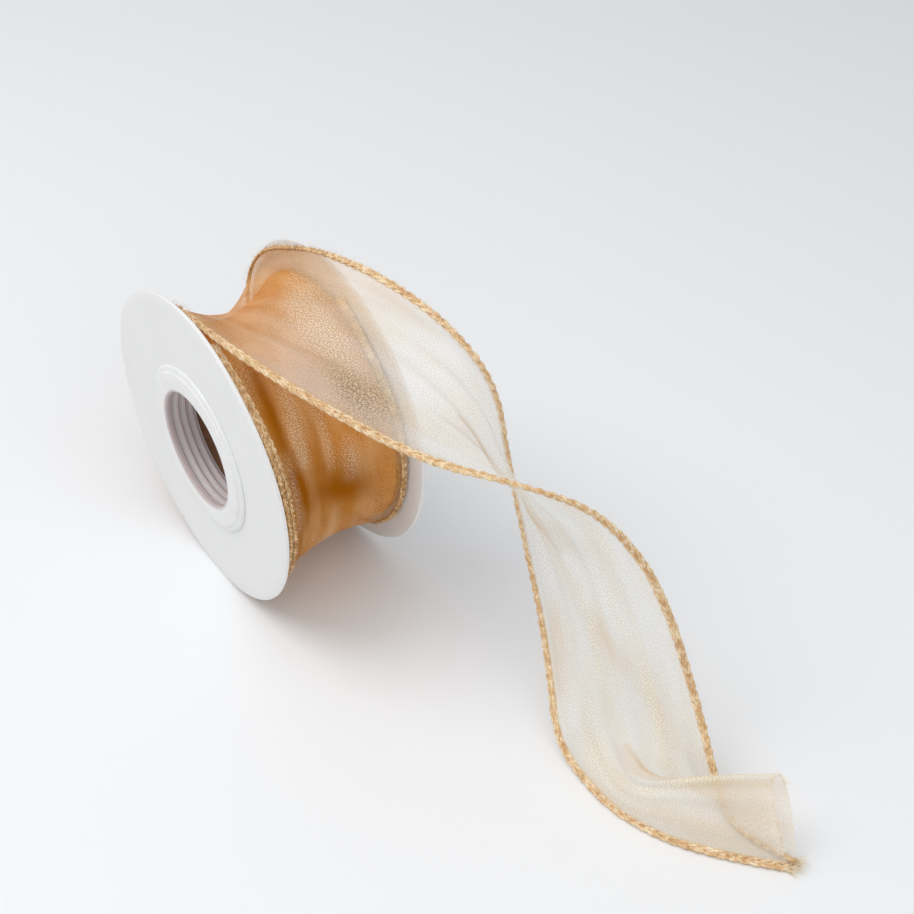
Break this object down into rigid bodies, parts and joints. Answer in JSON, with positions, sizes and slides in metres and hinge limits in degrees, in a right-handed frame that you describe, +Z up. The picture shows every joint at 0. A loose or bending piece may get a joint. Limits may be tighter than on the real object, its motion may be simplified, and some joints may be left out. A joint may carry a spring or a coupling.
{
  "type": "ribbon spool",
  "caption": "Card-flanged spool of sheer gold-edged ribbon on a ribbed plastic hub, its free end lifted off the top, turned over once and laid down in front.",
  "frame": {"origin": "middle of the bore on the spool's axis, midway between the two flanges", "axes": "+Y along the spool's axis to the back flange, +X the way the ribbon's free end leaves, +Z up"},
  "size_m": [0.2153, 0.0694, 0.0966],
  "materials": {
    "flange_card": "matte",
    "hub_plastic": "satin",
    "core_kraft": "matte",
    "tape": "satin",
    "wound_cloth": "satin",
    "wound_edging": "matte",
    "sheer_cloth": "satin",
    "edging_yarn": "matte",
    "edge_wire": "satin"
  },
  "bodies": {
    "ribbon_end": {"outer_turn": "sheer_cloth", "free_end": "sheer_cloth", "front_edging": "edging_yarn", "back_edging": "edging_yarn", "front_edge_wire": "edge_wire", "back_edge_wire": "edge_wire"},
    "spool": {"front_flange": "flange_card", "back_flange": "flange_card", "front_hub_plug": "hub_plastic", "back_hub_plug": "hub_plastic", "core_tube": "core_kraft", "start_tape": "tape", "ribbon_roll": "wound_cloth", "front_roll_edging": "wound_edging", "back_roll_edging": "wound_edging"}
  },
  "joints": [
    {"name": "spool_turn", "type": "hinge", "parent": "ribbon_end", "child": "spool", "pos_m": [0, 0, 0], "axis": [0, 1, 0], "continuous": true}
  ]
}
